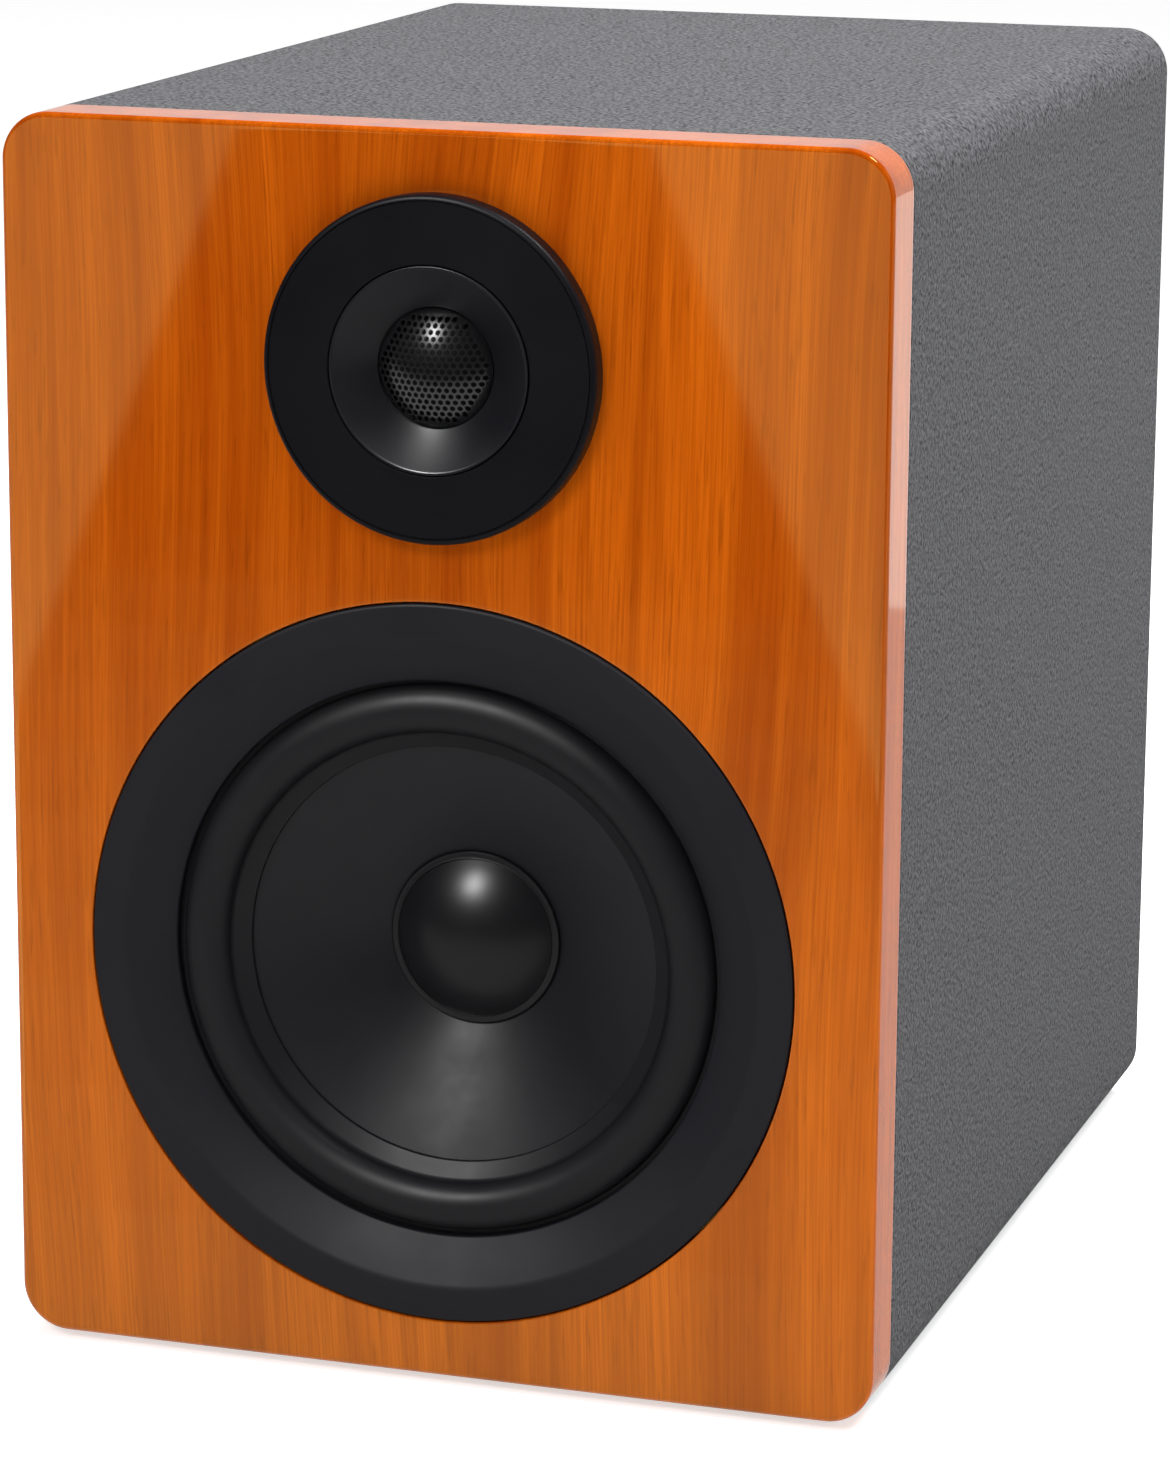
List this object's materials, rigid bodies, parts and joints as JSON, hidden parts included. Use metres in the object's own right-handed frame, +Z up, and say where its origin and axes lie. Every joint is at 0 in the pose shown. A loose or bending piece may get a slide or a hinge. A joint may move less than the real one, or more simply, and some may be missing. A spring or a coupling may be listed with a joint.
{
  "type": "desktop speaker",
  "caption": "Two-way powered desktop speaker: wood-veneered front baffle with dome tweeter over cone woofer, vinyl-wrapped box, and rear amplifier plate with port, sockets and knobs.",
  "frame": {"origin": "middle of the bounding box's footprint, on the surface that the rubber feet stand on", "axes": "+Z up, -Y out of the front baffle towards the listener, +X to the right seen from the front; X is the width, the shortest side"},
  "size_m": [0.202, 0.292, 0.282],
  "materials": {
    "lacquered_wood": "cherry-toned veneer under clear gloss lacquer",
    "vinyl": "fine-grained black vinyl",
    "fibreboard": "raw medium-density fibreboard",
    "black_plastic": "matt black moulding",
    "rocker_plastic": "glossy black moulding",
    "satin_plastic": "satin black moulding",
    "rubber": "black rubber",
    "surround_rubber": "satin butyl rubber",
    "coated_paper": "coated paper cone, satin",
    "gloss_cap": "semi-gloss",
    "copper_wire": "enamelled copper winding",
    "spider_cloth": "resin-treated cotton cloth",
    "black_steel": "black enamel",
    "perforated_steel": "perforated, black lacquer",
    "plated_steel": "zinc or nickel plate",
    "black_screw": "black oxide",
    "ferrite": "ground ferrite ceramic",
    "silk_dome": "doped silk",
    "black_aluminium": "black anodised",
    "circuit_board": "green solder mask",
    "capacitor_can": "sleeved can",
    "transformer_wrap": "yellow tape over the winding",
    "lead_jacket": "flexible jacket"
  },
  "bodies": {
    "cabinet": {"amp_board": "circuit_board", "amp_capacitor": "capacitor_can", "amp_heatsink": "black_aluminium", "amp_plate": "black_aluminium", "amp_screw_1": "black_screw", "amp_screw_2": "black_screw", "amp_screw_3": "black_screw", "amp_screw_4": "black_screw", "bottom_panel": "fibreboard", "combo_jack": "black_plastic", "foot_1": "rubber", "foot_2": "rubber", "foot_3": "rubber", "foot_4": "rubber", "front_baffle": "lacquered_wood", "left_side_panel": "fibreboard", "port_tube": "black_plastic", "power_inlet": "black_plastic", "rca_jack": "plated_steel", "rear_panel": "vinyl", "right_side_panel": "fibreboard", "switch_housing": "black_plastic", "top_panel": "fibreboard", "transformer": "transformer_wrap", "treble_pot": "plated_steel", "tweeter_faceplate": "satin_plastic", "tweeter_lead": "lead_jacket", "tweeter_magnet": "ferrite", "tweeter_mesh": "perforated_steel", "tweeter_screw_1": "plated_steel", "tweeter_screw_2": "plated_steel", "tweeter_screw_3": "plated_steel", "tweeter_top_plate": "plated_steel", "tweeter_trim_ring": "satin_plastic", "tweeter_yoke": "plated_steel", "vinyl_wrap": "vinyl", "volume_pot": "plated_steel", "woofer_basket": "black_steel", "woofer_lead": "lead_jacket", "woofer_magnet": "ferrite", "woofer_screw_1": "plated_steel", "woofer_screw_2": "plated_steel", "woofer_screw_3": "plated_steel", "woofer_screw_4": "plated_steel", "woofer_spider": "spider_cloth", "woofer_surround": "surround_rubber", "woofer_terminals": "black_plastic", "woofer_top_plate": "plated_steel", "woofer_trim_ring": "satin_plastic", "woofer_yoke": "plated_steel"},
    "woofer_cone_assembly": {"woofer_cone": "coated_paper", "woofer_dust_cap": "gloss_cap", "woofer_voice_coil": "copper_wire"},
    "tweeter_dome_assembly": {"tweeter_dome": "silk_dome", "tweeter_voice_coil": "copper_wire"},
    "volume_knob": {"volume_knob": "black_plastic"},
    "treble_knob": {"treble_knob": "black_plastic"},
    "power_rocker": {"power_rocker": "rocker_plastic"},
    "fuse_drawer": {"fuse_drawer": "black_plastic"},
    "jack_latch": {"jack_latch": "plated_steel"}
  },
  "joints": [
    {"name": "woofer_cone_travel", "type": "slide", "parent": "cabinet", "child": "woofer_cone_assembly", "axis": [0, -1, 0], "range_m": [-0.004, 0.004], "stiffness_N_per_m": 900, "deforming": ["woofer_surround", "woofer_spider"]},
    {"name": "tweeter_dome_travel", "type": "slide", "parent": "cabinet", "child": "tweeter_dome_assembly", "axis": [0, -1, 0], "range_m": [-0.0004, 0.0004], "stiffness_N_per_m": 1500, "deforming": ["tweeter_dome"]},
    {"name": "volume_knob_turn", "type": "hinge", "parent": "cabinet", "child": "volume_knob", "pos_m": [0.055, 0.139, 0.112], "axis": [0, 1, 0], "range_deg": [-150, 150]},
    {"name": "treble_knob_turn", "type": "hinge", "parent": "cabinet", "child": "treble_knob", "pos_m": [0.024, 0.139, 0.112], "axis": [0, 1, 0], "range_deg": [-150, 150]},
    {"name": "power_rocker_tip", "type": "hinge", "parent": "cabinet", "child": "power_rocker", "pos_m": [0.036, 0.1306, 0.056], "axis": [1, 0, 0], "range_deg": [0, 14]},
    {"name": "fuse_drawer_slide", "type": "slide", "parent": "cabinet", "child": "fuse_drawer", "axis": [0, 1, 0], "range_m": [0, 0.014]},
    {"name": "jack_latch_press", "type": "slide", "parent": "cabinet", "child": "jack_latch", "axis": [0, -1, 0], "range_m": [0, 0.0012], "stiffness_N_per_m": 300}
  ]
}
